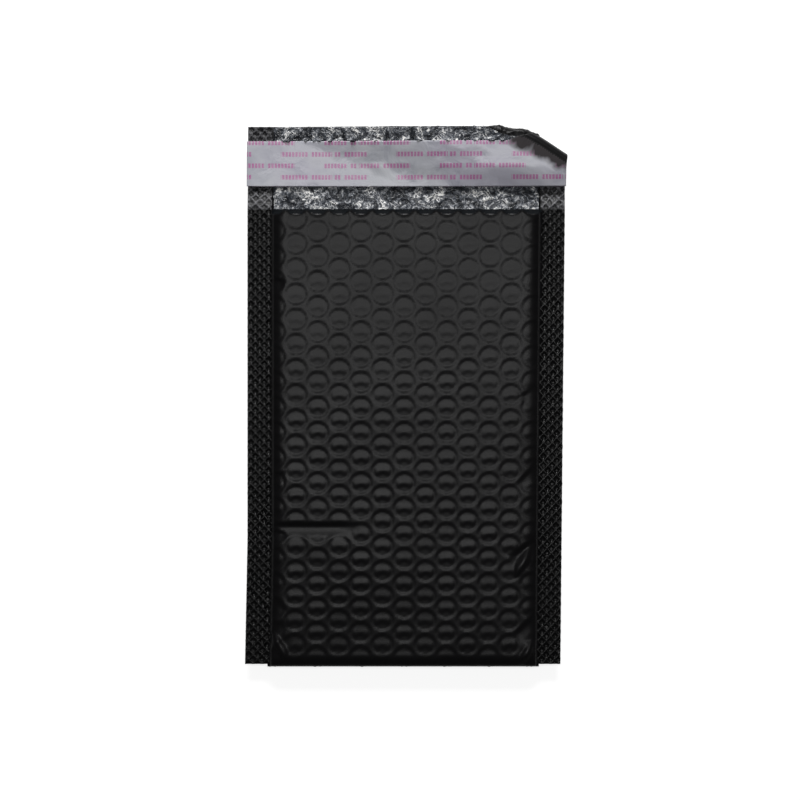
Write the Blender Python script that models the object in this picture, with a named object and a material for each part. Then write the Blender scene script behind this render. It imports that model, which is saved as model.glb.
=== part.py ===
"""A padded mailing envelope, lying on its back with its flap open.

Each layer is first built flat, with its height counted from the underside of the
outer film, and then carried to its place by seat(), which lets the back sag to the
table between the seals, props the flap and curls one flap corner under.
"""

import math

import bmesh
import bpy
from mathutils import Vector

# Plan, from the bottom fold at y = 0 to the free edge of the flap
BODY_WIDTH = 0.150
POCKET_LENGTH = 0.2155
FLAP_LENGTH = 0.0395
SEAL_WIDTH = 0.0115
SEAL_SETBACK = 0.0012
RIGHT_TAPER = 0.0025
LEFT_FLARE = 0.0012
FLARE_REACH = 0.060

# Layers and how far they swell apart between the seals
FILM = 0.0006
LINER = 0.0021
POCKET_GAP = 0.0045
SEAL_THICKNESS = 0.0012
CLEARANCE = 0.0003
LAP = 0.00005
SIDE_SLOPE = 0.0085
FOLD_REACH = 0.006
FOLD_WALL = 0.0012

# Bubbles, in columns along the envelope
BUBBLE_DIAMETER = 0.010
BUBBLE_PITCH = 0.01184
COLUMN_SPACING = 0.01017
BUBBLE_RECESS = 0.0004
BUBBLE_SIDES = 8
FIRST_BUBBLE = 0.0049
SHEET_SHIFT = -0.0007

# Knurl of the side seals, and the crease across the front
KNURL_SPACING = 0.0042
KNURL_PITCH = 0.00435
KNURL_HEIGHT = 0.0004
KNURL_MARGIN = 0.3
CREASE_HEIGHT = 0.0658
CREASE_WIDTH = 0.0024
CREASE_DEPTH = 0.00048
CREASE_START = -0.063
CREASE_END = -0.016
CREASE_TAPER = 3

# Layers on the flap
FLAP_LINER = 0.0008
ADHESIVE = 0.0003
ADHESIVE_WIDTH = 0.018
RELEASE = 0.0003
RELEASE_WIDTH = 0.0214
RELEASE_OFFSET = 0.011

# Corner of the flap that is curled under
CORNER_ALONG_TOP = 0.029
CORNER_DOWN_SIDE = 0.0135
CORNER_BEND = 0.0008
CORNER_SPREAD = 0.040
PROP_RAMP = 0.028
BEND_STEPS = 4
FLAP_LINE_SPACING = 0.018
FLAP_ROWS_CLOSER = 2.8

HALF_WIDTH = BODY_WIDTH / 2
LENGTH = POCKET_LENGTH + FLAP_LENGTH
SEAL_INNER = HALF_WIDTH - SEAL_WIDTH
BACK_LAYERS = FILM + CLEARANCE + LINER
THICKNESS = 2 * BACK_LAYERS + POCKET_GAP
KNURL_COLUMN = KNURL_SPACING / 2
KNURL_COLUMNS = math.floor(SEAL_WIDTH / KNURL_COLUMN - KNURL_MARGIN)
KNURL_INNER = HALF_WIDTH - KNURL_COLUMNS * KNURL_COLUMN
CAVITY_HALF = SEAL_INNER - 2 * FILM
POCKET_HALF = CAVITY_HALF - CLEARANCE - LINER
LINER_FLOOR = FILM + LAP + CLEARANCE
FLAP_LINER_TOP = LINER_FLOOR + LAP + FLAP_LINER
ADHESIVE_FLOOR = FLAP_LINER_TOP + CLEARANCE
RELEASE_FLOOR = ADHESIVE_FLOOR + ADHESIVE + CLEARANCE
FLAP_STACK = RELEASE_FLOOR + RELEASE

# Line at which the corner starts to bend, and the way it bends
CORNER_NORMAL = Vector((CORNER_DOWN_SIDE, CORNER_ALONG_TOP, 0)).normalized()
BEND_OUTER = CORNER_BEND + FLAP_STACK
BEND_NEUTRAL = CORNER_BEND + FLAP_STACK / 2
CORNER_POINT = Vector((HALF_WIDTH, LENGTH - CORNER_DOWN_SIDE, 0)) - CORNER_NORMAL * BEND_OUTER
CORNER_LIFT = 2 * CORNER_BEND + FLAP_STACK + CLEARANCE
PROP_FLAT = math.pi * BEND_NEUTRAL

FACES_UP = 0.5
MERGE = 1e-6
ON_LINE = 1e-7
SLOPE_LINES = (0, 0.4, 1)
FOLD_LINES = (0, FOLD_WALL / FOLD_REACH, 0.5, 1)


def ease(share):
    share = min(max(share, 0), 1)
    return share * share * (3 - 2 * share)


def bulge(share, knots):
    """Chords of a parabola that leaves 0 steeply and is level from 1 on."""
    share = min(max(share, 0), 1)
    for low, high in zip(knots, knots[1:]):
        if share <= high:
            ends = [1 - (1 - knot) ** 2 for knot in (low, high)]
            return ends[0] + (ends[1] - ends[0]) * (share - low) / (high - low)
    return 1


def side_bulge(x):
    return bulge((SEAL_INNER - abs(x)) / SIDE_SLOPE, SLOPE_LINES)


def body_height(x, y):
    """Height of the front face over the back face."""
    swell = side_bulge(x) * bulge(y / FOLD_REACH, FOLD_LINES)
    return SEAL_THICKNESS + (THICKNESS - SEAL_THICKNESS) * swell


def bend_distance(x, y):
    """How far a point lies beyond the line where the corner starts to bend."""
    return (Vector((x, y, 0)) - CORNER_POINT).dot(CORNER_NORMAL)


def back_rise(x, y):
    """Height of the outer film's underside over the table."""
    rise = (THICKNESS - body_height(x, y)) / 2
    flap = y - POCKET_LENGTH
    if flap <= 0:
        return rise
    away = max(-bend_distance(x, y) - PROP_FLAT, 0)
    prop = CORNER_LIFT * ease(1 - away / CORNER_SPREAD) * ease(flap / PROP_RAMP)
    return math.hypot(rise * (1 - ease(flap / FLAP_LENGTH)), prop)


def drift(x, y):
    """The sides are not quite parallel: the right one leans in, the left one flares."""
    if x > 0:
        return x - RIGHT_TAPER * (x / HALF_WIDTH) * (1 - y / LENGTH)
    return x + LEFT_FLARE * (x / HALF_WIDTH) * max(0, 1 - y / FLARE_REACH)


def seat(mesh):
    """Carries a flat layer to its place on the table."""
    for vertex in mesh.verts:
        x, y, height = vertex.co
        beyond = bend_distance(x, y)
        if beyond <= 0:
            place = Vector((x, y, back_rise(x, y) + height))
        else:
            foot = Vector((x, y, 0)) - CORNER_NORMAL * beyond
            level = back_rise(foot.x, foot.y) - CORNER_BEND
            radius = CORNER_BEND + height
            angle = min(beyond / BEND_NEUTRAL, math.pi)
            reach = radius * math.sin(angle) - (beyond - angle * BEND_NEUTRAL)
            place = foot + CORNER_NORMAL * reach
            place.z = level + radius * math.cos(angle)
        place.x = drift(place.x, place.y) + LEFT_FLARE / 2
        vertex.co = place


def cut(mesh, point, normal, drop_outside=False, choose=None):
    """Draws a line through the chosen faces, or trims what lies beyond it."""
    faces = choose(mesh) if choose else mesh.faces
    edges = {edge for face in faces for edge in face.edges}
    verts = {vert for edge in edges for vert in edge.verts}
    bmesh.ops.bisect_plane(
        mesh,
        geom=[*verts, *edges, *faces],
        dist=ON_LINE,
        plane_co=point,
        plane_no=normal,
        clear_outer=drop_outside,
    )


def trim(mesh, left, right, low, high):
    cut(mesh, (left, 0, 0), (-1, 0, 0), True)
    cut(mesh, (right, 0, 0), (1, 0, 0), True)
    cut(mesh, (0, low, 0), (0, -1, 0), True)
    cut(mesh, (0, high, 0), (0, 1, 0), True)


def slope_lines(mesh, choose=None):
    """Lines along both side slopes, the same on each layer."""
    for share in SLOPE_LINES:
        for side in (-1, 1):
            place = side * (SEAL_INNER - share * SIDE_SLOPE)
            cut(mesh, (place, 0, 0), (1, 0, 0), choose=choose)


def fold_lines(mesh, choose=None):
    """Lines where the layers round the fold, and where the left side starts to flare."""
    for place in (*(share * FOLD_REACH for share in FOLD_LINES), FLARE_REACH):
        cut(mesh, (0, place, 0), (0, 1, 0), choose=choose)


def bend_lines(mesh):
    """Lines across the curled corner."""
    for step in range(BEND_STEPS + 1):
        beyond = math.pi * BEND_NEUTRAL * step / BEND_STEPS
        cut(mesh, CORNER_POINT + CORNER_NORMAL * beyond, CORNER_NORMAL)


def flap_lines(mesh, choose=None, spacing=FLAP_LINE_SPACING):
    """A net of lines over the flap."""
    columns = round(SEAL_INNER / spacing)
    for column in range(1 - columns, columns):
        cut(mesh, (column * spacing, 0, 0), (1, 0, 0), choose=choose)
    rows = round(FLAP_ROWS_CLOSER * FLAP_LENGTH / spacing)
    for row in range(rows):
        place = POCKET_LENGTH + FLAP_LENGTH * (row + 0.5) / rows
        cut(mesh, (0, place, 0), (0, 1, 0), choose=choose)


def box(left, right, low, high, bottom, top):
    mesh = bmesh.new()
    bmesh.ops.create_cube(mesh, size=1)
    bmesh.ops.scale(mesh, vec=(right - left, high - low, top - bottom), verts=mesh.verts)
    middle = ((left + right) / 2, (low + high) / 2, (bottom + top) / 2)
    bmesh.ops.translate(mesh, vec=middle, verts=mesh.verts)
    return mesh


def layer_form(half, low, high, bottom, inset):
    """A closed form under the front face: inset is its depth below that face."""
    mesh = box(-half, half, low, high, 0, 1)
    slope_lines(mesh)
    fold_lines(mesh)
    for vertex in mesh.verts:
        x, y, height = vertex.co
        if height > FACES_UP:
            vertex.co.z = body_height(x, y) - inset
        else:
            vertex.co.z = bottom
    return mesh


def boundary_between(mesh, verts):
    return [
        edge for edge in mesh.edges
        if edge.is_boundary and all(vert in verts for vert in edge.verts)
    ]


def bubble_cell():
    """One hexagon of the sheet with its round recess."""
    cell = bmesh.new()
    turn = 2 * math.pi / 6
    outline = bmesh.ops.create_circle(cell, segments=6, radius=1, cap_ends=False)["verts"]
    for number, vertex in enumerate(outline):
        across = 2 * COLUMN_SPACING / 3 * math.cos(turn * number)
        along = BUBBLE_PITCH / math.sqrt(3) * math.sin(turn * number)
        vertex.co = (across, along, 0)
    ring = bmesh.ops.create_circle(
        cell, segments=BUBBLE_SIDES, radius=BUBBLE_DIAMETER / 2, cap_ends=False
    )["verts"]
    bmesh.ops.triangle_fill(cell, edges=cell.edges, use_beauty=True)
    bmesh.ops.contextual_create(cell, geom=boundary_between(cell, ring))
    for vertex in ring:
        vertex.co.z = -BUBBLE_RECESS
    return as_mesh("bubble_cell", cell)


def knurl_cell():
    """One diamond of the seals' knurl."""
    cell = bmesh.new()
    bmesh.ops.create_circle(cell, segments=4, radius=1, cap_ends=True, cap_tris=True)
    bmesh.ops.scale(cell, vec=(KNURL_SPACING / 2, KNURL_PITCH / 2, 1), verts=cell.verts)
    for vertex in cell.verts:
        vertex.co.z = 0 if vertex.co.xy.length > MERGE else KNURL_HEIGHT
    return as_mesh("knurl_cell", cell)


def as_mesh(name, source):
    mesh = bpy.data.meshes.new(name)
    source.to_mesh(mesh)
    source.free()
    return mesh


def staggered_sheet(cell, across, along, origin, left, right, low, high):
    """A sheet of like cells in staggered columns, trimmed to a rectangle."""
    sheet = bmesh.new()
    first = math.floor((left - origin.x) / across) - 1
    last = math.ceil((right - origin.x) / across) + 1
    for column in range(first, last + 1):
        start = origin.y + (column % 2) * along / 2
        row_first = math.floor((low - start) / along) - 1
        row_last = math.ceil((high - start) / along) + 1
        for row in range(row_first, row_last + 1):
            known = len(sheet.verts)
            sheet.from_mesh(cell)
            sheet.verts.ensure_lookup_table()
            place = (origin.x + column * across, start + row * along, 0)
            bmesh.ops.translate(sheet, vec=place, verts=sheet.verts[known:])
    bmesh.ops.remove_doubles(sheet, verts=sheet.verts, dist=MERGE)
    trim(sheet, left, right, low, high)
    bpy.data.meshes.remove(cell)
    return sheet


def closed_below(sheet, bottom):
    """Gives a sheet straight sides and a flat underside."""
    rim = [
        edge for edge in sheet.edges
        if edge.is_boundary and (edge.verts[0].co - edge.verts[1].co).xy.length > MERGE
    ]
    made = bmesh.ops.extrude_edge_only(sheet, edges=rim)["geom"]
    for item in made:
        if isinstance(item, bmesh.types.BMVert):
            item.co.z = bottom
    lower = [
        item for item in made
        if isinstance(item, bmesh.types.BMEdge) and item.is_boundary
        and all(abs(vert.co.z - bottom) < LAP for vert in item.verts)
    ]
    bmesh.ops.contextual_create(sheet, geom=lower)
    bmesh.ops.recalc_face_normals(sheet, faces=sheet.faces)
    return sheet


def underside(mesh):
    mesh.normal_update()
    return [face for face in mesh.faces if face.normal.z < -FACES_UP]


def joined(first, *steps):
    """Applies Boolean steps, each a pair of operation and mesh, to the first mesh."""
    for flat in (first, *(other for _, other in steps)):
        bmesh.ops.triangulate(flat, faces=flat.faces)
    target = bpy.data.objects.new("target", as_mesh("target", first))
    bpy.context.scene.collection.objects.link(target)
    helpers = [target]
    for operation, other in steps:
        helper = bpy.data.objects.new("helper", as_mesh("helper", other))
        bpy.context.scene.collection.objects.link(helper)
        helpers.append(helper)
        modifier = target.modifiers.new(operation.title(), "BOOLEAN")
        modifier.operation = operation
        modifier.solver = "EXACT"
        modifier.object = helper
    graph = bpy.context.evaluated_depsgraph_get()
    result = bmesh.new()
    result.from_mesh(bpy.data.meshes.new_from_object(target.evaluated_get(graph)))
    bmesh.ops.remove_doubles(result, verts=result.verts, dist=MERGE)
    for helper in helpers:
        bpy.data.objects.remove(helper)
    return result


def faces_near_crease(mesh):
    return [
        face for face in mesh.faces
        if CREASE_START < face.calc_center_median().x < CREASE_END
    ]


def crease(mesh):
    """A fold mark pressed across the lower left of the front."""
    half = CREASE_WIDTH / 2
    middle = (CREASE_START + CREASE_END) / 2
    for offset in (-half, 0, half):
        cut(mesh, (0, CREASE_HEIGHT + offset, 0), (0, 1, 0), choose=faces_near_crease)
    for vertex in mesh.verts:
        x, y, height = vertex.co
        across = 1 - abs(y - CREASE_HEIGHT) / half
        along = 1 - abs(x - middle) / (CREASE_END - middle)
        if height > THICKNESS / 2 and across > 0 and along > 0:
            depth = CREASE_DEPTH * across * min(1, CREASE_TAPER * along)
            vertex.co.z = min(height, THICKNESS - depth)


def front_sheet():
    """The front panel's relief, raised to its height."""
    origin = Vector((SHEET_SHIFT, FIRST_BUBBLE, 0))
    sheet = staggered_sheet(
        bubble_cell(), COLUMN_SPACING, BUBBLE_PITCH, origin,
        -SEAL_INNER, SEAL_INNER, 0, POCKET_LENGTH,
    )
    slope_lines(sheet)
    fold_lines(sheet)
    for vertex in sheet.verts:
        x, y, relief = vertex.co
        shallow = min(1, 2 * side_bulge(x), y / FOLD_REACH)
        vertex.co.z = body_height(x, y) + relief * shallow
    crease(sheet)
    return sheet


def knurl_sheet(side):
    """The top of one side seal, from near the fold to the flap's free edge."""
    edges = sorted((side * KNURL_INNER, side * HALF_WIDTH))
    origin = Vector((side * HALF_WIDTH, SEAL_SETBACK, 0))
    sheet = staggered_sheet(
        knurl_cell(), KNURL_COLUMN, KNURL_PITCH, origin,
        edges[0], edges[1], SEAL_SETBACK, LENGTH,
    )
    bmesh.ops.translate(sheet, vec=(0, 0, SEAL_THICKNESS), verts=sheet.verts)
    cut(sheet, (0, POCKET_LENGTH, 0), (0, 1, 0))
    return sheet


def rim_at(sheet, x):
    """Boundary edges along the line at x, up to the mouth."""
    return [
        edge for edge in sheet.edges
        if edge.is_boundary
        and all(abs(vert.co.x - x) < LAP for vert in edge.verts)
        and all(vert.co.y < POCKET_LENGTH + LAP for vert in edge.verts)
    ]


def ends_of(rim):
    verts = sorted({vert for edge in rim for vert in edge.verts}, key=lambda v: v.co.y)
    return verts[0], verts[-1]


def film_block():
    """Front relief and knurled seals as one sheet, closed below."""
    block = front_sheet()
    for side in (-1, 1):
        band = as_mesh("band", knurl_sheet(side))
        block.from_mesh(band)
        bpy.data.meshes.remove(band)
        panel_rim = rim_at(block, side * SEAL_INNER)
        band_rim = rim_at(block, side * KNURL_INNER)
        closing = [
            block.edges.new(pair) for pair in zip(ends_of(panel_rim), ends_of(band_rim))
        ]
        bmesh.ops.triangle_fill(
            block, edges=panel_rim + band_rim + closing, use_beauty=True, normal=(0, 0, 1)
        )
    flap_notch(block)
    closed_below(block, 0)
    cut(block, (0, 0, FILM), (0, 0, 1), choose=free_end)
    bmesh.ops.remove_doubles(block, verts=block.verts, dist=MERGE)
    bmesh.ops.recalc_face_normals(block, faces=block.faces)
    cut(block, (0, POCKET_LENGTH, 0), (0, 1, 0), choose=underside)
    slope_lines(block, underside)
    fold_lines(block, underside)
    slope_lines(block, flap_faces)
    flap_lines(block, flap_faces)
    bend_lines(block)
    return block


def flap_notch(sheet):
    """Steps down from the mouth and the seals to the film of the flap."""
    rim = [
        edge for edge in sheet.edges
        if edge.is_boundary
        and all(abs(vert.co.x) < KNURL_INNER + LAP for vert in edge.verts)
        and all(vert.co.y > POCKET_LENGTH - LAP for vert in edge.verts)
    ]
    made = bmesh.ops.extrude_edge_only(sheet, edges=rim)["geom"]
    lower = [item for item in made if isinstance(item, bmesh.types.BMVert)]
    for vertex in lower:
        vertex.co.z = FILM
    floor = [
        item for item in made
        if isinstance(item, bmesh.types.BMEdge) and item.is_boundary
        and all(vert in lower for vert in item.verts)
    ]
    corners = [vert for vert in lower if vert.co.y > LENGTH - LAP]
    floor.append(sheet.edges.new(corners))
    bmesh.ops.contextual_create(sheet, geom=floor)


def free_end(mesh):
    return [
        face for face in mesh.faces
        if all(vert.co.y > LENGTH - LAP for vert in face.verts)
    ]


def flap_faces(mesh):
    """Both flat sides of the flap's film."""
    return [
        face for face in mesh.faces
        if all(vert.co.y > POCKET_LENGTH - LAP and vert.co.z < FILM + LAP for vert in face.verts)
    ]


def flap_slab(half, low, high, bottom, top):
    slab = box(-half, half, low, high, bottom, top)
    slope_lines(slab)
    flap_lines(slab, spacing=FLAP_LINE_SPACING / 2)
    bend_lines(slab)
    return slab


def outer_film():
    cavity = layer_form(CAVITY_HALF, FOLD_WALL, LENGTH, FILM + LAP, FILM)
    return joined(film_block(), ("DIFFERENCE", cavity))


def bubble_liner():
    """The lining's bag, and its tail on the flap with flattened bubbles."""
    low = FOLD_WALL + CLEARANCE
    mouth = POCKET_LENGTH - CLEARANCE
    half = CAVITY_HALF - CLEARANCE
    bag = layer_form(half, low, mouth, LINER_FLOOR, FILM + CLEARANCE)
    pocket = layer_form(
        POCKET_HALF, low + LINER, LENGTH, LINER_FLOOR + LINER, BACK_LAYERS
    )
    origin = Vector((SHEET_SHIFT, FIRST_BUBBLE, 0))
    tail = staggered_sheet(
        bubble_cell(), COLUMN_SPACING, BUBBLE_PITCH, origin,
        LAP - half, half - LAP, mouth - LINER, LENGTH - CLEARANCE,
    )
    bmesh.ops.translate(tail, vec=(0, 0, FLAP_LINER_TOP), verts=tail.verts)
    closed_below(tail, LINER_FLOOR + LAP)
    slope_lines(tail)
    flap_lines(tail)
    bend_lines(tail)
    return joined(bag, ("DIFFERENCE", pocket), ("UNION", tail))


def adhesive_strip():
    low = POCKET_LENGTH + RELEASE_OFFSET + (RELEASE_WIDTH - ADHESIVE_WIDTH) / 2
    top = ADHESIVE_FLOOR + ADHESIVE
    return flap_slab(POCKET_HALF, low, low + ADHESIVE_WIDTH, ADHESIVE_FLOOR, top)


def release_liner():
    low = POCKET_LENGTH + RELEASE_OFFSET
    top = RELEASE_FLOOR + RELEASE
    return flap_slab(HALF_WIDTH, low, low + RELEASE_WIDTH, RELEASE_FLOOR, top)


def finish(name, colour, roughness):
    material = bpy.data.materials.new(name)
    material.use_nodes = True
    shader = material.node_tree.nodes["Principled BSDF"]
    shader.inputs["Base Color"].default_value = (*colour, 1)
    shader.inputs["Roughness"].default_value = roughness
    shader.inputs["Metallic"].default_value = 0
    return material


def add_piece(name, flat, material, parent, collection):
    """Seats a flat layer and makes it an object of the envelope."""
    bmesh.ops.dissolve_degenerate(flat, dist=MERGE, edges=flat.edges)
    bmesh.ops.triangulate(flat, faces=flat.faces)
    seat(flat)
    mesh = as_mesh(name, flat)
    mesh.materials.append(material)
    piece = bpy.data.objects.new(name, mesh)
    piece.parent = parent
    collection.objects.link(piece)


def main():
    for thing in list(bpy.data.objects):
        bpy.data.objects.remove(thing)
    collection = bpy.data.collections.new("padded_envelope")
    bpy.context.scene.collection.children.link(collection)
    frame = bpy.data.objects.new("envelope_frame", None)
    frame.location.y = -LENGTH / 2
    collection.objects.link(frame)
    film = finish("black_film", (0.012, 0.012, 0.013), 0.5)
    bubbles = finish("bubble_film", (0.10, 0.10, 0.11), 0.2)
    glue = finish("adhesive", (0.55, 0.52, 0.45), 0.3)
    paper = finish("release_film", (0.62, 0.60, 0.66), 0.35)
    add_piece("outer_film", outer_film(), film, frame, collection)
    add_piece("bubble_liner", bubble_liner(), bubbles, frame, collection)
    add_piece("adhesive_strip", adhesive_strip(), glue, frame, collection)
    add_piece("release_liner", release_liner(), paper, frame, collection)


main()
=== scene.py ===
from math import cos, exp, hypot, pi, radians, sin

import bmesh
import bpy
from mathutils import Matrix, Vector, noise


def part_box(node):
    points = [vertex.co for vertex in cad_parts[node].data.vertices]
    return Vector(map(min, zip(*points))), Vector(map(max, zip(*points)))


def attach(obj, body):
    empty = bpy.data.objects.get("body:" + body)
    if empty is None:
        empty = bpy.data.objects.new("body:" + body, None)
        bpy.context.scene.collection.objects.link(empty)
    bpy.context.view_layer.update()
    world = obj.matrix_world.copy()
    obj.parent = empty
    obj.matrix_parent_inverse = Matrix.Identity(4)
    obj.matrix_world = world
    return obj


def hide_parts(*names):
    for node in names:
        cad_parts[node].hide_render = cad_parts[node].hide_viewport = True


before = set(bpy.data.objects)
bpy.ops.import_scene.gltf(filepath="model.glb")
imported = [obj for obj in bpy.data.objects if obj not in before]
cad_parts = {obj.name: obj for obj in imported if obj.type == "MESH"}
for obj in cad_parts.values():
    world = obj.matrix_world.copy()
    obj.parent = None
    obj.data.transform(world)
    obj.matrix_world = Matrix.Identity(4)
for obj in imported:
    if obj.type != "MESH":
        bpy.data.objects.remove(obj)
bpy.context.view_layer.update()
film_low, film_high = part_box("outer_film")

# The envelope's main sizes in metres, in its own place: x across, y up from the bottom fold
LENGTH = film_high.y - film_low.y
THICKNESS = film_high.z - film_low.z
HALF_WIDTH = 0.075
FLAP_LENGTH = 0.0395
POCKET_LENGTH = LENGTH - FLAP_LENGTH
SEAL_WIDTH = 0.0115
SEAL_INNER = HALF_WIDTH - SEAL_WIDTH
SEAL_THICKNESS = 0.0012
SEAL_SETBACK = 0.0012
SEAL_TUCK = 0.0010
RIGHT_TAPER = 0.0025
LEFT_FLARE = 0.0012
FLARE_REACH = 0.060
SIDE_SLOPE = 0.0095
SIDE_FULLNESS = 4
SIDE_EDGE = 0.55
SIDE_WALL = 0.0004
FOLD_REACH = 0.006
FOLD_EDGE = 0.45
FOLD_TAPER = 0.0013
TAPER_REACH = 0.065

# The layers that lie on the flap, bottom up
FILM = 0.0004
BACK_LAYERS = 0.0030
FLAP_LINING_TOP = 0.0018
RELEASE_TOP = 0.0030
RELEASE_FILM = 0.0002
RELEASE_WIDTH = 0.0214
RELEASE_PAST_SIDE = 0.0004
STRIP_TOP = LENGTH - 0.0071
ADHESIVE = 0.0003
ADHESIVE_WIDTH = 0.018
ADHESIVE_HALF = 0.0628
LINING_HALF = 0.0630
POCKET_HALF = 0.0590

# The flap corner that is curled under
CORNER_ALONG_TOP = 0.029
CORNER_DOWN_SIDE = 0.0135
CORNER_BEND = 0.0008
CORNER_SPREAD = 0.040
PROP_RAMP = 0.022
MOUTH_REACH = 0.0105
FLAP_CUP = 0.0024
CLEARANCE = 0.0003
CORNER_NORMAL = Vector((CORNER_DOWN_SIDE, CORNER_ALONG_TOP, 0)).normalized()
BEND_NEUTRAL = CORNER_BEND + RELEASE_TOP / 2
CORNER_POINT = (Vector((HALF_WIDTH, LENGTH - CORNER_DOWN_SIDE, 0))
                - CORNER_NORMAL * (CORNER_BEND + RELEASE_TOP))
CORNER_ALONG = Vector((CORNER_ALONG_TOP, -CORNER_DOWN_SIDE, 0)).normalized()
CORNER_RUN = hypot(CORNER_ALONG_TOP, CORNER_DOWN_SIDE)
CORNER_SPARE = 0.0031
SPARE_RISE = 0.0115
SPARE_FALL = 0.030
SPARE_REACH = 0.0025
CORNER_LIFT = 2 * CORNER_BEND + RELEASE_TOP + CLEARANCE
PROP_FLAT = pi * BEND_NEUTRAL

# The bubble pattern that shows through the film
BUBBLE_PITCH = 0.01184
COLUMN_SPACING = 0.01017
FIRST_BUBBLE = 0.0049
SHEET_SHIFT = -0.0011
PATTERN_SAG = 0.0011
SAG_REACH = 0.050
RIM_OUTER = 0.00525
RIM_INNER = 0.00460
RIM_DEPTH = 0.00023
RIM_SNAP = 0.00030
CREST_HEIGHT = 0.00028
CREST_HALF = 0.0025
CREST_FALL = 0.0009
CREST_SOFT_FALL = 0.0034
CREST_RISE = 0.0042
CREST_DROP = 0.0004
CREST_LEVEL = 0.0030
CREST_REACH = 0.0045
CREST_BLUNT = 1.3
CREST_TILT = 0.10
TILT_START = 0.020
TILT_GROWTH = 3.0

# The knurled side seals
KNURL_SPACING = 0.0042
KNURL_PITCH = 0.00435
KNURL_DEPTH = 0.00052
LEFT_LEAD = 0.145
RIGHT_LEAD = 0.42
KNURL_RISE = -0.305
PIT_RIB = 0.28
PIT_FLOOR = 0.82
PIT_MARGIN = 0.0016
WEAR_SCALE = 330
SEAL_WALL = 0.8 * SEAL_THICKNESS
FLAP_SEAL_WALL = 0.0002
FLAP_SEAL_THINNING = 0.15
CRINKLE_HEIGHT = 0.00020
CRINKLE_SCALE = 700

# Mesh spacings
FRONT_STEP = 0.00078
BACK_STEP = 0.00115
SEAL_STEP = 0.00035
FLAP_STEP = 0.00050
HIDDEN_STEP = 0.0020


def ease(share):
    share = min(max(share, 0), 1)
    return share * share * (3 - 2 * share)


def bulge(share, fullness=2):
    """A curve that leaves 0 steeply, more so the fuller it is, and is level from 1 on."""
    return 1 - (1 - min(max(share, 0), 1)) ** fullness


def body_height(x, y):
    """The envelope's thickness over its flat back at a place of its pocket."""
    inside = SEAL_INNER - abs(x)
    side = SIDE_EDGE * ease(inside / SIDE_WALL) + (1 - SIDE_EDGE) * bulge(inside / SIDE_SLOPE, SIDE_FULLNESS)
    fold = FOLD_EDGE + (1 - FOLD_EDGE) * bulge(y / FOLD_REACH)
    taper = FOLD_TAPER * max(0, 1 - y / TAPER_REACH) ** 2
    return SEAL_THICKNESS + (THICKNESS - SEAL_THICKNESS - taper) * side * fold


def bend_distance(x, y):
    return (Vector((x, y, 0)) - CORNER_POINT).dot(CORNER_NORMAL)


def corner_spare(x, y):
    """How far the curl stands out from its straight line, most near its upper end, where it is loosest."""
    along = (Vector((x, y, 0)) - CORNER_POINT).dot(CORNER_ALONG) + CORNER_RUN
    loose = ease(along / SPARE_RISE) * ease(1 - (along - SPARE_RISE) / SPARE_FALL)
    return CORNER_SPARE * loose * ease(1 + bend_distance(x, y) / SPARE_REACH)


def back_rise(x, y):
    """How far the back film stands off the floor."""
    rise = (THICKNESS - body_height(x, y)) / 2
    flap = y - POCKET_LENGTH
    if flap <= 0:
        return rise
    away = max(-bend_distance(x, y) - PROP_FLAT, 0)
    prop = CORNER_LIFT * ease(1 - away / CORNER_SPREAD) * ease(flap / PROP_RAMP)
    cup = FLAP_CUP * (x / HALF_WIDTH) ** 4 * (1 - ease(flap / FLAP_LENGTH))
    beside = ease(flap / MOUTH_REACH)
    return hypot(rise * (1 - beside) + cup * beside, prop)


def drift(x, y):
    """The side edges lean a little, as they do on the real envelope."""
    if x > 0:
        return x - RIGHT_TAPER * (x / HALF_WIDTH) * (1 - y / LENGTH)
    return x + LEFT_FLARE * (x / HALF_WIDTH) * max(0, 1 - y / FLARE_REACH)


def seat(x, y, height):
    """Where a place of the flat envelope lies in the world, its height counted from the back film."""
    beyond = bend_distance(x, y)
    place, level = Vector((x, y, 0)), back_rise(x, y) + height
    if beyond > 0:
        foot = place - CORNER_NORMAL * beyond
        radius = CORNER_BEND + height
        angle = min(beyond / BEND_NEUTRAL, pi)
        reach = radius * sin(angle) - (beyond - angle * BEND_NEUTRAL)
        place = foot + CORNER_NORMAL * reach
        level = back_rise(foot.x, foot.y) - CORNER_BEND + radius * cos(angle)
    place += CORNER_NORMAL * corner_spare(x, y)
    return Vector((drift(place.x, place.y) + LEFT_FLARE / 2, place.y - LENGTH / 2, level))


def nearest_bubble(x, y):
    """The middle of the bubble nearest to a place, and the way from it to the place."""
    y += PATTERN_SAG * ease(y / SAG_REACH)
    near = round((x - SHEET_SHIFT) / COLUMN_SPACING)
    found = None
    for column in (near - 1, near, near + 1):
        first = FIRST_BUBBLE + (BUBBLE_PITCH / 2 if column % 2 else 0)
        middle = Vector((SHEET_SHIFT + column * COLUMN_SPACING,
                         first + BUBBLE_PITCH * round((y - first) / BUBBLE_PITCH)))
        away = Vector((x, y)) - middle
        if found is None or away.length < found[1].length:
            found = middle, away
    return found


def bubble_chances(middle, draw):
    """Three steady random numbers that are a bubble's own."""
    return noise.cell_vector(Vector((middle.x * 1000, middle.y * 1000, draw)))


def on_rim(x, y):
    """Draws a mesh point that is close to a bubble's rim onto it, so that the rims are round."""
    _, away = nearest_bubble(x, y)
    for radius in (RIM_OUTER, RIM_INNER):
        if abs(away.length - radius) < RIM_SNAP:
            out = radius / away.length - 1
            return x + away.x * out, y + away.y * out
    return x, y


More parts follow.
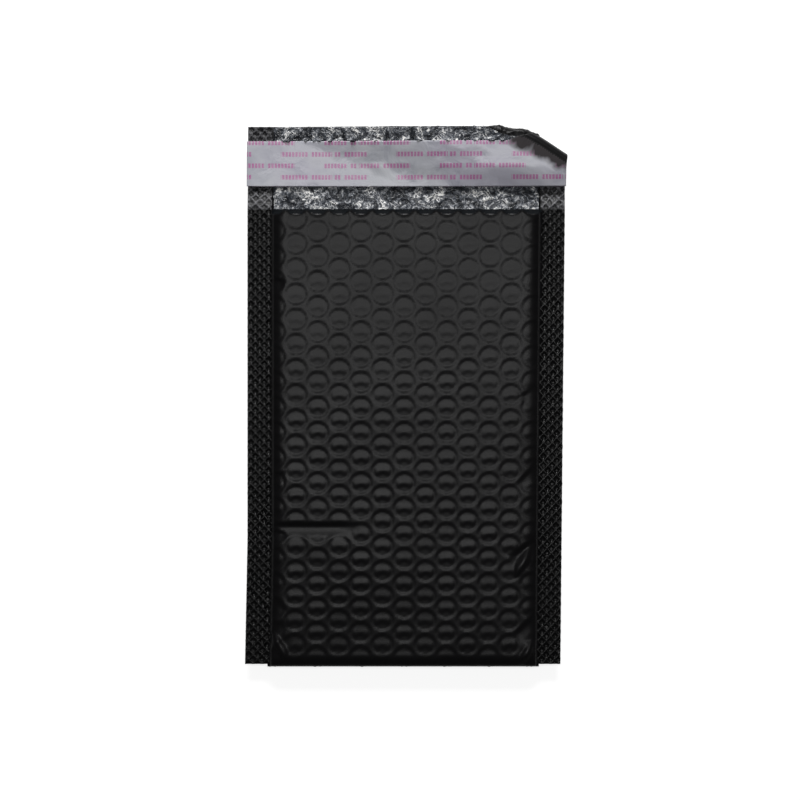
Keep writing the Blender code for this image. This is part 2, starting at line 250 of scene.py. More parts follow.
def bubble_relief(x, y, strength):
    """A sunken bubble: a sharp rim, a rise towards the middle and a crest that falls away below it."""
    middle, away = nearest_bubble(x, y)
    reach = away.length
    if reach >= RIM_OUTER:
        return 0
    drop = RIM_DEPTH * (1 - ease((reach - RIM_INNER) / (RIM_OUTER - RIM_INNER)))
    chance = bubble_chances(middle, 3)
    tilt = CREST_TILT * (chance.x - 0.4) + TILT_GROWTH * max(middle.x - TILT_START, 0)
    along = away.y - tilt * away.x + CREST_DROP * (0.5 + chance.z)
    half = CREST_HALF * (0.75 + 0.5 * chance.y)
    if along > 0:
        ridge = ease(1 - along / CREST_RISE)
    else:
        blunt = ease(abs(away.x) / (CREST_BLUNT * half))
        ridge = ease(1 + along / (CREST_FALL + (CREST_SOFT_FALL - CREST_FALL) * blunt))
    inside = 1 - ease((reach - CREST_LEVEL) / (CREST_REACH - CREST_LEVEL))
    lift = CREST_HEIGHT * strength * (0.75 + 0.4 * chance.x)
    return -drop * (0.6 + 0.4 * strength) + lift * ridge * inside


# Start, end, half width and depth of each crease on the front, which rises more slowly on its near side
CREASE_LEE = 3.5
CREASES = (
    ((-0.0665, 0.0664), (-0.0225, 0.0664), 0.0018, 0.00090),
    ((-0.0640, 0.0640), (-0.0560, 0.0620), 0.0012, 0.00060),
    ((-0.0640, 0.1825), (-0.0575, 0.1810), 0.0012, 0.00070),
    ((0.0500, 0.0505), (0.0635, 0.0605), 0.0022, 0.00090),
    ((0.0520, 0.0140), (0.0645, 0.0250), 0.0020, 0.00060),
    ((0.0530, 0.0850), (0.0640, 0.0960), 0.0018, 0.00050),
    ((-0.0645, 0.0030), (-0.0560, 0.0150), 0.0016, 0.00050),
    ((-0.0645, 0.0140), (-0.0570, 0.0215), 0.0016, 0.00050),
    ((-0.0640, 0.0330), (-0.0560, 0.0260), 0.0016, 0.00045),
    ((-0.0640, 0.0890), (-0.0570, 0.0910), 0.0014, 0.00040),
    ((0.0540, 0.1260), (0.0640, 0.1330), 0.0016, 0.00045),
)


def valley(x, y, start, end, half, depth):
    """A crease pressed into the film from start to end, deepest half way."""
    run = Vector(end) - Vector(start)
    along = (Vector((x, y)) - Vector(start)).dot(run) / run.length_squared
    if not 0 < along < 1:
        return 0
    away = Vector((x, y)) - Vector(start) - run * along
    across = away.length / (half if away.y > 0 else half * CREASE_LEE)
    if across >= 1:
        return 0
    return -depth * (1 - across * across) ** 1.5 * min(1, 5 * along * (1 - along) + 0.1)


# Where the raised folds of spare film stand
PLEAT_PLACES = ((0.0560, 0.0495), (0.0578, 0.0055), (-0.0590, 0.0100))
PLEAT_HEIGHT = 0.0011
PLEAT_HALF = 0.0040
PLEAT_REACH = 0.0040
PLEAT_LEAN = 1.2


def pleats(x, y):
    """The height of the raised folds of spare film beside the seals."""
    rise = 0
    for middle_x, middle_y in PLEAT_PLACES:
        lean = PLEAT_LEAN * (abs(x) - abs(middle_x))
        across = (y - middle_y - lean) / PLEAT_HALF
        along = (x - middle_x) / PLEAT_REACH
        rise += PLEAT_HEIGHT * max(0, 1 - across * across) * max(0, 1 - along * along)
    return rise


WAVE_HEIGHT = 0.00022
WAVES_ACROSS = 38
WAVES_UP = 30


def waviness(x, y):
    """The slow unevenness of a relaxed envelope."""
    return WAVE_HEIGHT * noise.noise(Vector((x * WAVES_ACROSS, y * WAVES_UP, 1.7)))


# The bottom fold's rows of mesh turn through an upright oval, and the rows above it close up to make room
FOLD_ROWS = 5
FOLD_ROUND = 0.0009
FOLD_TURN = radians(60)
FOLD_SHIFT = 0.020

# The relief fades out at the film's edges and grows from the taut mouth downwards
BOTTOM_FADE = 0.007
EDGE_FADE = 0.004
TAUT_STRENGTH = 0.22
TAUT_DOWN_TO = 0.190
LOOSENING = 0.120
CREASED_FLAT = 0.0005
BACK_STRENGTH = 0.5
BACK_RELIEF = 0.8

# The film sinks in the bubbles that the mouth cuts through; these bubbles and a thin line along the mouth's
# rim get painted shade
SCALLOP_RADIUS = 0.0064
SCALLOP_RISE = 0.0038
MOUTH_LINE = 0.0007
SCALLOP_DROP = 0.0016
SCALLOP_WIDTH = 0.0016


def scallop_inset(x, y):
    """How far a place lies inside a bubble that the mouth cuts through."""
    middle, _ = nearest_bubble(x, POCKET_LENGTH + SCALLOP_RISE)
    return SCALLOP_RADIUS - hypot(x - middle.x, y - POCKET_LENGTH - SCALLOP_RISE)


def in_mouth_shade(x, y):
    """Where the mouth's rim and the open bubbles get painted shade, a dark material standing in for their
    shadow.
    """
    return y > POCKET_LENGTH - MOUTH_LINE or scallop_inset(x, y) > 0


def front_face(x, y):
    fold = FOLD_ROWS * FRONT_STEP
    if y < fold - FRONT_STEP / 2:
        turn = -pi / 2 + (pi / 2 + FOLD_TURN) * y / fold
        half = (body_height(x, 0) - FILM) / 2
        return x, FOLD_ROUND * (1 - cos(turn)), FILM + half + half * sin(turn) / sin(FOLD_TURN) ** (turn > 0)
    y -= (fold - FOLD_ROUND * (1 - cos(FOLD_TURN))) * max(0, 1 - (y - fold) / FOLD_SHIFT)
    x, y = on_rim(x, y)
    height = body_height(x, y)
    fade = ease(y / BOTTOM_FADE)
    strength = TAUT_STRENGTH + (1 - TAUT_STRENGTH) * ease((TAUT_DOWN_TO - y) / LOOSENING)
    creased, pleated = sum(valley(x, y, *crease) for crease in CREASES), pleats(x, y)
    flat = 1 - ease((pleated - creased) / CREASED_FLAT)
    height += fade * (bubble_relief(x, y, strength) * flat + waviness(x, y) + pleated + creased)
    height -= SCALLOP_DROP * ease(scallop_inset(x, y) / SCALLOP_WIDTH)
    return x, y, max(height, FILM)


def back_face(x, y):
    x, y = on_rim(x, y)
    fade = ease(y / BOTTOM_FADE) * ease((LENGTH - y) / EDGE_FADE) * ease((SEAL_INNER - abs(x)) / EDGE_FADE)
    return x, y, FILM - fade * BACK_RELIEF * bubble_relief(x, y, BACK_STRENGTH)


SWELL_REACH = 0.006


def corner_swell(x, y):
    """The layers beside the release strip stand as high as it does where the corner bends."""
    return (RELEASE_TOP - FLAP_LINING_TOP) * ease(1 + bend_distance(x, y) / SWELL_REACH)


def pit_share(x, y):
    """0 on the knurl's crossing ribs, 1 on the flat bottoms of the pits between them."""
    across = (abs(x) - SEAL_INNER) / KNURL_SPACING + (LEFT_LEAD if x < 0 else RIGHT_LEAD)
    up = y / KNURL_PITCH + KNURL_RISE
    nearest = min(abs(sin(pi * (across + up))), abs(sin(pi * (across - up))))
    return ease((nearest - PIT_RIB) / (PIT_FLOOR - PIT_RIB)) * ease((HALF_WIDTH - abs(x)) / PIT_MARGIN)


def knurl(x, y):
    wear = 0.9 + 0.7 * noise.noise(Vector((x * WEAR_SCALE, y * WEAR_SCALE, 5)))
    return -KNURL_DEPTH * pit_share(x, y) * wear


def seal_face(x, y):
    flap = ease((y - POCKET_LENGTH) / EDGE_FADE)
    crinkle = flap * CRINKLE_HEIGHT * noise.noise(Vector((x * CRINKLE_SCALE, y * CRINKLE_SCALE, 8)))
    ribs = SEAL_THICKNESS * (1 - FLAP_SEAL_THINNING * flap)
    return x, y, ribs + knurl(x, y) + crinkle + corner_swell(x, y)


# The lining on the flap: folds, the rings of flattened bubbles and film bunched at the strip's edges
LINING_STEP = 0.012
LINING_STEP_TOP = POCKET_LENGTH + 0.006
PRESSED_EDGE = 0.002
SETTLED = 0.0002
FOLD_SIZE = 0.0052
FOLD_HEIGHT = 0.00045
SMALL_FOLD_SIZE = 0.0019
SMALL_FOLD_HEIGHT = 0.00028
RING_RADIUS = 0.0043
RING_HALF = 0.0009
RING_HEIGHT = 0.00030
SUNK_EDGE = 0.001
SUNK_DEPTH = 0.00025
RUFFLES = ((STRIP_TOP, 0.0030), (STRIP_TOP - RELEASE_WIDTH, 0.0018))
RUFFLE_REACH = 0.0008
RUFFLE_END = 0.005


def crumple(x, y, size):
    """Sharp folds of thin film: ridges between the cells of a random pattern."""
    near, _ = noise.voronoi(Vector((x / size, y / size, size * 900)))
    return min(1, (near[1] - near[0]) * 1.6)


def flap_lining_face(x, y):
    step = ease((LINING_STEP_TOP - y) / LINING_STEP)
    height = FLAP_LINING_TOP + (BACK_LAYERS - FLAP_LINING_TOP) * step
    under = ease((y - STRIP_TOP + RELEASE_WIDTH) / PRESSED_EDGE) * ease((STRIP_TOP - y) / PRESSED_EDGE)
    _, away = nearest_bubble(x, y)
    ring = max(0, 1 - abs(away.length - RING_RADIUS) / RING_HALF)
    sunk = ease((RING_RADIUS - away.length) / SUNK_EDGE)
    folds = crumple(x + 0.002 * noise.noise(Vector((x * 200, y * 200, 2))), y, FOLD_SIZE)
    small = crumple(x, y, SMALL_FOLD_SIZE)
    relief = FOLD_HEIGHT * folds + SMALL_FOLD_HEIGHT * small + RING_HEIGHT * ring - SUNK_DEPTH * sunk
    ruffle = max(0, noise.noise(Vector((x * 420, y * 260, 9))) + 0.25)
    for edge, bunching in RUFFLES:
        near = exp(-((y - edge) / RUFFLE_REACH) ** 2)
        relief += bunching * ruffle * near * ease(-bend_distance(x, y) / RUFFLE_END)
    settled = (relief - SETTLED) * (1 - under) - SETTLED * under
    free = beside_seal(x, y)
    return x, y, height * (0.5 + 0.5 * free) + settled * free + corner_swell(x, y) * (1 - under)


# Painted highlights on the flap lining, where the bunched film shines: x, y, reach across and reach up
GLINTS = (
    (-0.0607, 0.2247, 0.0016, 0.0013), (-0.0005, 0.2498, 0.0018, 0.0013), (-0.0425, 0.2512, 0.0012, 0.0016),
    (0.0190, 0.2500, 0.0030, 0.0011), (0.0395, 0.2497, 0.0034, 0.0013), (-0.0370, 0.2485, 0.0030, 0.0006),
    (0.0245, 0.2240, 0.0014, 0.0008), (-0.0120, 0.2243, 0.0010, 0.0007), (0.0560, 0.2175, 0.0016, 0.0007),
    (-0.0095, 0.2172, 0.0008, 0.0007), (0.0060, 0.2170, 0.0008, 0.0007), (-0.0250, 0.2245, 0.0006, 0.0006),
)
FLOW = Vector((160, 520, 0))
SHINE_RADIUS = 0.0040
SHINE_SPREAD = 0.0005
SHINE_HALF = 0.0004
GAP_RADIUS = 0.0054
GAP_HALF = 0.0006
HOLLOW_LINE = LENGTH - 0.0052
HOLLOW_HALF = 0.0011


def lining_painted_light(x, y):
    """How bright the crumpled lining is, as painted light: painted highlights on one side of each bubble's
    ring, along the long folds on the top edge and at the glints, and painted shade in the gaps between the
    bubbles and along a hollow near the top edge.
    """
    middle, away = nearest_bubble(x, y)
    chance = bubble_chances(middle, 7)
    facing = away.normalized().dot(Vector((cos(7 * chance.x), sin(7 * chance.x)))) if away.length else 0
    shine = exp(-((away.length - SHINE_RADIUS - SHINE_SPREAD * chance.y) / SHINE_HALF) ** 2)
    gap = exp(-((away.length - GAP_RADIUS) / GAP_HALF) ** 2)
    # shine is a painted highlight on one side of each ring, and gap is painted shade between the bubbles.
    tone = 0.34 + 0.55 * shine * max(0, facing) - 0.30 * gap
    if y > STRIP_TOP - PRESSED_EDGE:
        bend = Vector((x * FLOW.x, y * FLOW.y + 2.5 * noise.noise(Vector((x * 90, y * 90, 1))), 3))
        flow = abs(noise.noise(bend))
        tone = 0.20 + 0.60 * exp(-(flow / 0.05) ** 2) - 0.25 * ease((flow - 0.2) / 0.3)
        # Painted shade along the hollow near the top edge.
        tone -= 0.22 * exp(-((y - HOLLOW_LINE) / HOLLOW_HALF) ** 2)
    for glint_x, glint_y, reach_x, reach_y in GLINTS:
        tone += 1.3 * exp(-((x - glint_x) / reach_x) ** 2 - ((y - glint_y) / reach_y) ** 2)
    return tone


def seal_rib_light_and_pit_shade(x, y):
    """Painted light on the flap seals: 1 on the ribs, painted pale as a highlight, and 0 in the pits,
    painted black as shade.
    """
    return 1 - pit_share(x, y)


# From a little before the line where the corner bends, the curl takes the black film's material as painted
# shade, where it turns away from the light
CURL_BLACK = -0.0003


def in_curl_shade(x, y):
    return bend_distance(x, y) > CURL_BLACK


# The release strip's waves, which are lower at its ends and gone on the curl
BROAD_WAVE = 0.00042
FINE_WAVE = 0.00016
WAVE_END = 0.010
WAVE_BED = 0.0002
WAVE_FLOOR = -0.0003
CURL_TAUT = 0.004


def release_face(x, y):
    edge = HALF_WIDTH - abs(x)
    broad = noise.noise(Vector((x * 42, y * 70, 4)))
    fine = noise.noise(Vector((x * 150 + y * 60, y * 210, 6)))
    waves = (BROAD_WAVE * broad + FINE_WAVE * fine) * (0.4 + 0.6 * ease(edge / WAVE_END))
    loose = ease(-bend_distance(x, y) / CURL_TAUT)
    return x, y, RELEASE_TOP + loose * (WAVE_BED + max(waves, WAVE_FLOOR))


def adhesive_face(x, y):
    return x, y, FLAP_LINING_TOP + CLEARANCE + ADHESIVE


# The linings inside the pocket
INNER_RELIEF = 0.3
INNER_WALL_BACK = 0.0018
INNER_WALL_FRONT = 0.0016
INNER_START = 0.003
INNER_BACK_TOP = POCKET_LENGTH - 0.013
UNDER_FRONT = 0.0018
MOUTH_DIP = 0.0016
MOUTH_DIP_START = POCKET_LENGTH - 0.010
MOUTH_DIP_RUN = 0.007


def pocket_back_face(x, y):
    return x, y, BACK_LAYERS - CLEARANCE - INNER_RELIEF * bubble_relief(x, y, INNER_RELIEF)


def pocket_front_face(x, y):
    mouth = ease((y - MOUTH_DIP_START) / MOUTH_DIP_RUN)
    return x, y, body_height(x, y) - UNDER_FRONT - MOUTH_DIP * mouth


LINING_EDGE = 0.0015


def beside_seal(x, y):
    """1 in the middle, falling to 0 where the lining ends at the seals."""
    return ease((LINING_HALF - abs(x)) / LINING_EDGE)


def film_piece(name, left, right, bottom, top, step, face, thickness, tone=None, other=None):
    """A film over a flat rectangle, whose UV map keeps each point's flat place.

    face gives a point's flat place and height. tone gives its brightness, for the material,
    and other says where the film's second material is.
    """
    mesh = bmesh.new()
    columns, rows = round((right - left) / step), round((top - bottom) / step)
    bmesh.ops.create_grid(mesh, x_segments=columns, y_segments=rows, size=0.5)
    flat = mesh.loops.layers.uv.new("flat")
    shine = mesh.verts.layers.float.new("tone")
    for vert in mesh.verts:
        vert.co = (left + (vert.co.x + 0.5) * (right - left), bottom + (vert.co.y + 0.5) * (top - bottom), 0)
    heights = {}
    for vert in mesh.verts:
        x, y, height = face(vert.co.x, vert.co.y)
        vert.co = (x, y, 0)
        heights[vert] = height
        if tone:
            vert[shine] = tone(x, y)
    for sheet_face in mesh.faces:
        sheet_face.smooth = True
        if other:
            centre = sheet_face.calc_center_median()
            sheet_face.material_index = int(other(centre.x, centre.y))
        for loop in sheet_face.loops:
            loop[flat].uv = loop.vert.co.xy
    for vert, height in heights.items():
        vert.co = seat(vert.co.x, vert.co.y, height)
    data = bpy.data.meshes.new(name)
    mesh.to_mesh(data)
    mesh.free()
    piece = bpy.data.objects.new(name, data)
    bpy.context.scene.collection.objects.link(piece)
    wall = piece.modifiers.new("film thickness", "SOLIDIFY")
    wall.thickness = thickness
    wall.offset = -1
    return piece


def dress(piece, materials, slot, *nodes):
    for material in materials:
        piece.data.materials.append(material)
    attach(piece, "root")
    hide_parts(*nodes)


class Finish:
    """A material being put together: its shader nodes and the wires between them."""

    def __init__(self, name):
        self.material = bpy.data.materials.new(name)
        self.material.use_nodes = True
        self.tree = self.material.node_tree
        self.shader = self.tree.nodes["Principled BSDF"]

    def node(self, kind, **settings):
        made = self.tree.nodes.new(kind)
        for name, value in settings.items():
            setattr(made, name, value)
        return made

    def wire(self, source, target):
        self.tree.links.new(source, target)

    def fill(self, socket, value):
        if isinstance(value, bpy.types.NodeSocket):
            self.wire(value, socket)
        else:
            socket.default_value = value

    def math(self, operation, *values):
        made = self.node("ShaderNodeMath", operation=operation)
        for socket, value in zip(made.inputs, values):
            self.fill(socket, value)
        return made.outputs[0]

    def place(self):
        return self.node("ShaderNodeTexCoord").outputs["Object"]

    def tone(self):
        return self.node("ShaderNodeAttribute", attribute_name="tone").outputs["Fac"]

    def flat_place(self):
        return self.node("ShaderNodeUVMap", uv_map="flat").outputs["UV"]

    def noise(self, where, scale, detail=2, roughness=0.5, distortion=0):
        made = self.node("ShaderNodeTexNoise")
        self.wire(where, made.inputs["Vector"])
        made.inputs["Scale"].default_value = scale
        made.inputs["Detail"].default_value = detail
        made.inputs["Roughness"].default_value = roughness
        made.inputs["Distortion"].default_value = distortion
        return made.outputs["Fac"]

    def folds(self, where, scale, distortion, width):
        """1 along thin curving lines and 0 between them."""
        level = self.noise(where, scale, 1, 0.5, distortion)
        return self.spread(self.math("ABSOLUTE", self.math("SUBTRACT", level, 0.5)), 0, width, 1, 0)

    def ramp(self, share, stops):
        made = self.node("ShaderNodeValToRGB")
        elements = made.color_ramp.elements
        while len(elements) < len(stops):
            elements.new(1)
        for element, (place, colour) in zip(elements, stops):
            element.position, element.color = place, colour
        self.fill(made.inputs["Fac"], share)
        return made.outputs["Color"]

    def spread(self, value, low, high, out_low=0, out_high=1):
        made = self.node("ShaderNodeMapRange")
        self.fill(made.inputs["Value"], value)
        ends = (("From Min", low), ("From Max", high), ("To Min", out_low), ("To Max", out_high))
        for name, number in ends:
            made.inputs[name].default_value = number
        return made.outputs["Result"]

    def blend(self, share, first, second):
        made = self.node("ShaderNodeMix", data_type="RGBA")
        self.fill(made.inputs["Factor"], share)
        self.fill(made.inputs[6], first)
        self.fill(made.inputs[7], second)
        return made.outputs[2]

    def bump(self, height, strength, distance, after=None):
        made = self.node("ShaderNodeBump")
        self.wire(height, made.inputs["Height"])
        made.inputs["Strength"].default_value = strength
        made.inputs["Distance"].default_value = distance
        if after is not None:
            self.wire(after, made.inputs["Normal"])
        return made.outputs["Normal"]

    def set(self, **sockets):
        for name, value in sockets.items():
            self.fill(self.shader.inputs[name.replace("_", " ")], value)
        return self.material


def black_film():
    """Matt black film with a fine grain and faint handling marks."""
    finish = Finish("black film")
    where = finish.place()
    patches = finish.noise(where, 26, 3)
    grain = finish.noise(where, 1600, 2)
    creep = finish.noise(where, 190, 3, 0.6, 0.4)
    colour = finish.blend(patches, (0.0024, 0.0023, 0.0026, 1), (0.0038, 0.0036, 0.0040, 1))
    normal = finish.bump(grain, 0.08, 0.0001)
    normal = finish.bump(creep, 0.10, 0.0003, normal)
    return finish.set(
        Base_Color=colour,
        Roughness=finish.spread(patches, 0.3, 0.7, 0.29, 0.33),
        Specular_IOR_Level=0.15,
        Normal=normal,
    )


def painted_shade_film():
    """Painted shade on the mouth's rim and in the bubbles that the mouth cuts through: near black and a
    little blue, partly the inner side of the cut film and partly its shadow.
    """
    finish = Finish("painted shade film")
    mottle = finish.noise(finish.place(), 600, 2)
    return finish.set(
        Base_Color=finish.blend(mottle, (0.0016, 0.0024, 0.0034, 1), (0.0040, 0.0052, 0.0068, 1)),
        Roughness=finish.spread(mottle, 0.3, 0.7, 0.6, 0.8),
        Specular_IOR_Level=0.08,
    )


def sealed_film():
    """The same film melted flat in the seals: glossier on its bumps, black in its grooves."""
    finish = Finish("sealed film")
    where = finish.place()
    patches = finish.noise(where, 60, 2)
    melt = finish.noise(where, 900, 3, 0.6)
    normal = finish.bump(melt, 0.35, 0.0003)
    return finish.set(
        Base_Color=finish.blend(patches, (0.0004, 0.0004, 0.0005, 1), (0.0012, 0.0012, 0.0014, 1)),
        Roughness=finish.spread(patches, 0.3, 0.7, 0.25, 0.33),
        Specular_IOR_Level=0.19,
        Normal=normal,
    )


def flap_seal_film():
    """The seals' inner face on the flap: clear film melted into pits over the black, with the pits painted
    black as shade and the ribs painted pale, partly the clear film and partly painted highlight.
    """
    finish = Finish("flap seal film")
    melt = finish.noise(finish.place(), 1000, 3, 0.6)
    share = finish.math("MULTIPLY", finish.tone(), finish.spread(melt, 0.40, 0.68))
    normal = finish.bump(melt, 0.5, 0.0004)
    # Black in the pits is painted shade; the pale grey on the ribs is partly the clear film and partly
    # painted highlight.
    return finish.set(
        Base_Color=finish.blend(share, (0.003, 0.003, 0.004, 1), (0.145, 0.145, 0.157, 1)),
        Roughness=finish.spread(melt, 0.3, 0.7, 0.30, 0.42),
        Specular_IOR_Level=0.30,
        Normal=normal,
    )


def bubble_film():
    """Clear film crumpled over black: dark blue-grey between its folds, with painted white highlights along
    the folds and the lining's painted light from its tone attribute.
    """
    finish = Finish("crumpled bubble film")
    where = finish.place()
    patches = finish.noise(where, 150, 3, 0.6, 0.8)
    # The fold lines are painted white highlights, streaks of reflected light on the crumpled film.
    long_folds = finish.folds(where, 170, 1.8, 0.060)
    short_folds = finish.folds(where, 320, 1.4, 0.070)
    fine_folds = finish.folds(where, 760, 1.0, 0.090)
    folds = finish.math("MAXIMUM", long_folds, finish.math("MULTIPLY", short_folds, 0.8))
    folds = finish.math("MAXIMUM", folds, finish.math("MULTIPLY", fine_folds, 0.32))
    share = finish.math("MULTIPLY", folds, finish.spread(patches, 0.41, 0.60, 0.06, 1.30))
    painted_light_share = finish.math("MULTIPLY", finish.tone(), finish.spread(patches, 0.3, 0.7, 0.45, 1.25))
    share = finish.math("ADD", share, finish.math("MULTIPLY", painted_light_share, 0.30))
    colour = finish.ramp(share, (
        (0.05, (0.012, 0.014, 0.018, 1)), (0.35, (0.095, 0.105, 0.125, 1)),
        (0.70, (0.44, 0.45, 0.47, 1)), (1.0, (0.90, 0.89, 0.86, 1)),
    ))
    normal = finish.bump(long_folds, 0.5, 0.0006)
    normal = finish.bump(short_folds, 0.4, 0.0003, normal)
    return finish.set(
        Base_Color=colour,
        Roughness=finish.spread(patches, 0.3, 0.7, 0.22, 0.36),
        Normal=normal,
    )


# The printed rows on the release liner, in metres on the flat envelope: runs of plain dashes in groups
PRINT_TOP = 0.24825
ROW_PITCH = 0.00542
ROW_HALF = 0.00110
RUN_REPEAT = 0.0545
RUN_LENGTH = 0.0405
RUN_STARTS = (-0.0388, -0.0594)
DASH_GROUPS = ((0.0, 0.0108), (0.0124, 0.0030), (0.0162, 0.0102), (0.0276, 0.0129))
DASH_PITCH = 0.00155
DASH_SHARE = 0.70


def printed_dashes(finish, where):
    """1 on the printed dashes of the liner and 0 between them."""
    parts = finish.node("ShaderNodeSeparateXYZ")
    finish.wire(where, parts.inputs[0])
    across, up = parts.outputs[0], parts.outputs[1]
    rows = finish.math("DIVIDE", finish.math("SUBTRACT", PRINT_TOP, up), ROW_PITCH)
    row = finish.math("FLOOR", rows)
    inside = finish.math("MULTIPLY", finish.math("FRACT", rows), ROW_PITCH)
    in_row = finish.math("COMPARE", inside, ROW_HALF, ROW_HALF)
    odd = finish.math("MODULO", row, 2)
    start = finish.spread(odd, 0, 1, *RUN_STARTS)
    along = finish.math("FLOORED_MODULO", finish.math("SUBTRACT", across, start), RUN_REPEAT)
    turned = finish.math("SUBTRACT", RUN_LENGTH, along)
    along = finish.math("ADD", finish.math("MULTIPLY", odd, finish.math("SUBTRACT", turned, along)), along)
    groups = None
    for begin, length in DASH_GROUPS:
        group = finish.math("COMPARE", along, begin + length / 2, length / 2)
        groups = group if groups is None else finish.math("ADD", groups, group)
    past_dash = finish.math("FLOORED_MODULO", along, DASH_PITCH)
    dash = finish.math("LESS_THAN", past_dash, DASH_PITCH * DASH_SHARE)
    return finish.math("MULTIPLY", finish.math("MULTIPLY", groups, dash), in_row)


# Painted shade darkens the strip towards the curled corner, where it turns away from the light
BEND_SHADE = 0.0048


def shade_at_bend(finish, where):
    """1 at the line where the corner bends, falling to 0 a little way in from it."""
    nearness = finish.node("ShaderNodeVectorMath", operation="DOT_PRODUCT")
    finish.wire(where, nearness.inputs[0])
    nearness.inputs[1].default_value = CORNER_NORMAL
    beyond = finish.math("SUBTRACT", nearness.outputs["Value"], CORNER_POINT.dot(CORNER_NORMAL))
    wander = finish.spread(finish.noise(where, 160, 2), 0.3, 0.7, -0.0012, 0.0012)
    return finish.spread(finish.math("ADD", beyond, wander), -BEND_SHADE, -0.1 * BEND_SHADE)


def release_film():
    """Satin pale lavender film with faint blotches and rows of plain magenta dashes."""
    finish = Finish("release film")
    where = finish.flat_place()
    blotches = finish.noise(where, 70, 4, 0.6, 0.6)
    veil = finish.noise(where, 24, 2)
    ink = finish.noise(where, 1400, 2, 0.7)
    pale = finish.blend(finish.spread(blotches, 0.35, 0.65), (0.33, 0.34, 0.38, 1), (0.45, 0.46, 0.49, 1))
    pale = finish.blend(finish.spread(veil, 0.35, 0.65, 0, 0.5), pale, (0.36, 0.34, 0.42, 1))
    # Painted shade towards the curled corner, in patches, laid over the strip's colour and its print.
    shade_patches = finish.spread(blotches, 0.3, 0.6, 0.85, 1.5)
    curl_shade = finish.math("MINIMUM", finish.math("MULTIPLY", shade_at_bend(finish, where), shade_patches), 1)
    pale = finish.blend(curl_shade, pale, (0.020, 0.016, 0.018, 1))
    wear = finish.spread(ink, 0.3, 0.7, 0.45, 0.85)
    printed = finish.math("MULTIPLY", printed_dashes(finish, where), wear)
    printed = finish.math("MULTIPLY", printed, finish.math("SUBTRACT", 1, curl_shade))
    normal = finish.bump(blotches, 0.35, 0.0012)
    return finish.set(
        Base_Color=finish.blend(printed, pale, (0.38, 0.045, 0.24, 1)),
        Roughness=finish.math("MAXIMUM", finish.spread(blotches, 0.3, 0.7, 0.24, 0.36),
                              finish.math("MULTIPLY", curl_shade, 0.8)),
        Normal=normal,
    )


def hot_melt():
    """Tacky pale adhesive with a faint comb pattern from its coating."""
    finish = Finish("hot melt adhesive")
    where = finish.place()
    comb = finish.node("ShaderNodeTexWave", bands_direction="Y")
    finish.wire(where, comb.inputs["Vector"])
    comb.inputs["Scale"].default_value = 260
    mottle = finish.noise(where, 90, 3)
    return finish.set(
        Base_Color=finish.blend(mottle, (0.50, 0.46, 0.38, 1), (0.60, 0.57, 0.50, 1)),
        Roughness=finish.spread(mottle, 0.3, 0.7, 0.30, 0.45),
        Normal=finish.bump(comb.outputs["Fac"], 0.2, 0.0002),
    )


LINING_DOWN_TO = POCKET_LENGTH - 0.014
LINING_SHORT = 0.0004
LINING_WALL = 0.0008


def make_envelope():
    film, sealed, flap_sealed = black_film(), sealed_film(), flap_seal_film()
    bubbles, liner = bubble_film(), release_film()
    half = SEAL_INNER + SEAL_TUCK
    # The front's second material, on the mouth's rim and in the cut bubbles, is painted shade.
    front = film_piece("front_panel", -half, half, 0, POCKET_LENGTH, FRONT_STEP, front_face, FILM,
                       other=in_mouth_shade)
    back = film_piece("back_panel_and_flap", -half, half, 0, LENGTH, BACK_STEP, back_face, FILM)
    dress(front, (film, painted_shade_film()), "black_film", "outer_film")
    dress(back, (film,), "black_film", "outer_film")
    for side, sign in (("left", -1), ("right", 1)):
        edges = sorted((sign * SEAL_INNER, sign * HALF_WIDTH))
        seal = film_piece(side + "_seal", *edges, SEAL_SETBACK, POCKET_LENGTH, SEAL_STEP, seal_face,
                          SEAL_WALL)
        dress(seal, (sealed,), "black_film", "outer_film")
        # On the curl, the flap seal's second material, the black film, is painted shade.
        end = film_piece(side + "_flap_seal", *edges, POCKET_LENGTH, LENGTH, SEAL_STEP, seal_face,
                         FLAP_SEAL_WALL, tone=seal_rib_light_and_pit_shade, other=in_curl_shade)
        dress(end, (flap_sealed, film), "bubble_film", "outer_film")
    flap = film_piece("flap_lining", -LINING_HALF, LINING_HALF, LINING_DOWN_TO, LENGTH - LINING_SHORT,
                      FLAP_STEP, flap_lining_face, LINING_WALL, tone=lining_painted_light, other=in_curl_shade)
    inner_back = film_piece("pocket_lining_back", -POCKET_HALF, POCKET_HALF, INNER_START,
                            INNER_BACK_TOP, HIDDEN_STEP, pocket_back_face, INNER_WALL_BACK)
    inner_front = film_piece("pocket_lining_front", -POCKET_HALF, POCKET_HALF, INNER_START,
                             POCKET_LENGTH - LINING_SHORT, HIDDEN_STEP, pocket_front_face, INNER_WALL_FRONT)
    for piece in (flap, inner_back, inner_front):
        dress(piece, (bubbles, film), "bubble_film", "bubble_liner")
    half = HALF_WIDTH + RELEASE_PAST_SIDE
    release = film_piece("release_strip", -half, half, STRIP_TOP - RELEASE_WIDTH, STRIP_TOP,
                         FLAP_STEP, release_face, RELEASE_FILM, other=in_curl_shade)
    dress(release, (liner, film), "release_film", "release_liner")
    low = STRIP_TOP - (RELEASE_WIDTH + ADHESIVE_WIDTH) / 2
    band = film_piece("adhesive_band", -ADHESIVE_HALF, ADHESIVE_HALF, low, low + ADHESIVE_WIDTH,
                      BACK_STEP, adhesive_face, ADHESIVE)
    dress(band, (hot_melt(),), "adhesive", "adhesive_strip")


# The camera looks straight down, with the flap at the top of the picture
CAMERA_HEIGHT = 1.2
CAMERA_PLACE = (-0.0025, -0.0018)
FRAME_WIDTH = 0.3774
SENSOR = 36


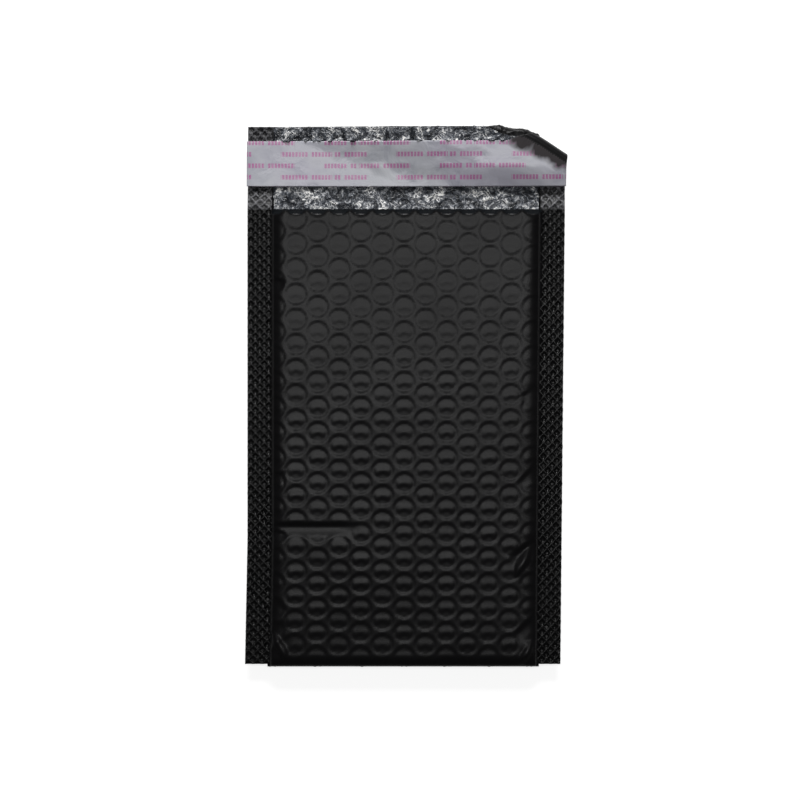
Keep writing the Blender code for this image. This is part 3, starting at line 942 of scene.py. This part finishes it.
def make_camera():
    data = bpy.data.cameras.new("camera")
    data.sensor_width = SENSOR
    data.lens = SENSOR * (CAMERA_HEIGHT - THICKNESS / 2) / FRAME_WIDTH
    camera = bpy.data.objects.new("camera", data)
    camera.location = (*CAMERA_PLACE, CAMERA_HEIGHT)
    bpy.context.scene.collection.objects.link(camera)
    bpy.context.scene.camera = camera


def soft_light(name, place, aim, width, height, power, colour=(1, 1, 1)):
    data = bpy.data.lights.new(name, "AREA")
    data.shape = "RECTANGLE"
    data.size, data.size_y = width, height
    data.energy = power
    data.color = colour
    light = bpy.data.objects.new(name, data)
    light.location = place
    light.rotation_euler = (Vector(aim) - Vector(place)).to_track_quat("-Z", "Y").to_euler()
    bpy.context.scene.collection.objects.link(light)


def white_for_camera(tree, lit):
    """A share that is 1 where the camera or a reflection looks at the backdrop, and lit elsewhere."""
    path = tree.nodes.new("ShaderNodeLightPath")
    total = path.outputs["Is Camera Ray"]
    for name in ("Is Glossy Ray", "Is Transmission Ray"):
        add = tree.nodes.new("ShaderNodeMath")
        add.operation = "MAXIMUM"
        tree.links.new(total, add.inputs[0])
        tree.links.new(path.outputs[name], add.inputs[1])
        total = add.outputs[0]
    reach = tree.nodes.new("ShaderNodeMapRange")
    reach.inputs["To Min"].default_value = lit
    reach.inputs["To Max"].default_value = 1
    tree.links.new(total, reach.inputs["Value"])
    return reach.outputs["Result"]


FLOOR_HALF = 1.5
FLOOR_DROP = 0.0002
FLOOR_GREY = 0.45
FLOOR_WHITE = 0.80
WORLD_LIGHT = 0.12


def make_floor():
    mesh = bmesh.new()
    bmesh.ops.create_grid(mesh, x_segments=2, y_segments=2, size=FLOOR_HALF)
    data = bpy.data.meshes.new("floor")
    mesh.to_mesh(data)
    mesh.free()
    floor = bpy.data.objects.new("floor", data)
    floor.location.z = -FLOOR_DROP
    bpy.context.scene.collection.objects.link(floor)
    material = bpy.data.materials.new("white floor")
    material.use_nodes = True
    tree = material.node_tree
    shader = tree.nodes["Principled BSDF"]
    shader.inputs["Base Color"].default_value = (FLOOR_GREY, FLOOR_GREY, FLOOR_GREY, 1)
    shader.inputs["Roughness"].default_value = 0.9
    shader.inputs["Emission Color"].default_value = (1, 1, 1, 1)
    share = white_for_camera(tree, 0)
    glow = tree.nodes.new("ShaderNodeMath")
    glow.operation = "MULTIPLY"
    glow.inputs[1].default_value = FLOOR_WHITE
    tree.links.new(share, glow.inputs[0])
    tree.links.new(glow.outputs[0], shader.inputs["Emission Strength"])
    data.materials.append(material)


def make_light():
    soft_light("key", (0, 1.50, 0.90), (0, 0.02, 0), 1.0, 0.5, 29)
    soft_light("overhead", (0, 0.165, 1.50), (0, 0.06, 0), 0.80, 0.20, 4.7)
    world = bpy.data.worlds.new("studio")
    world.use_nodes = True
    tree = world.node_tree
    background = tree.nodes["Background"]
    background.inputs["Color"].default_value = (1, 1, 1, 1)
    background.inputs["Strength"].default_value = WORLD_LIGHT
    bpy.context.scene.world = world


make_camera()
make_envelope()
make_floor()
make_light()
bpy.context.scene.view_settings.view_transform = "Standard"
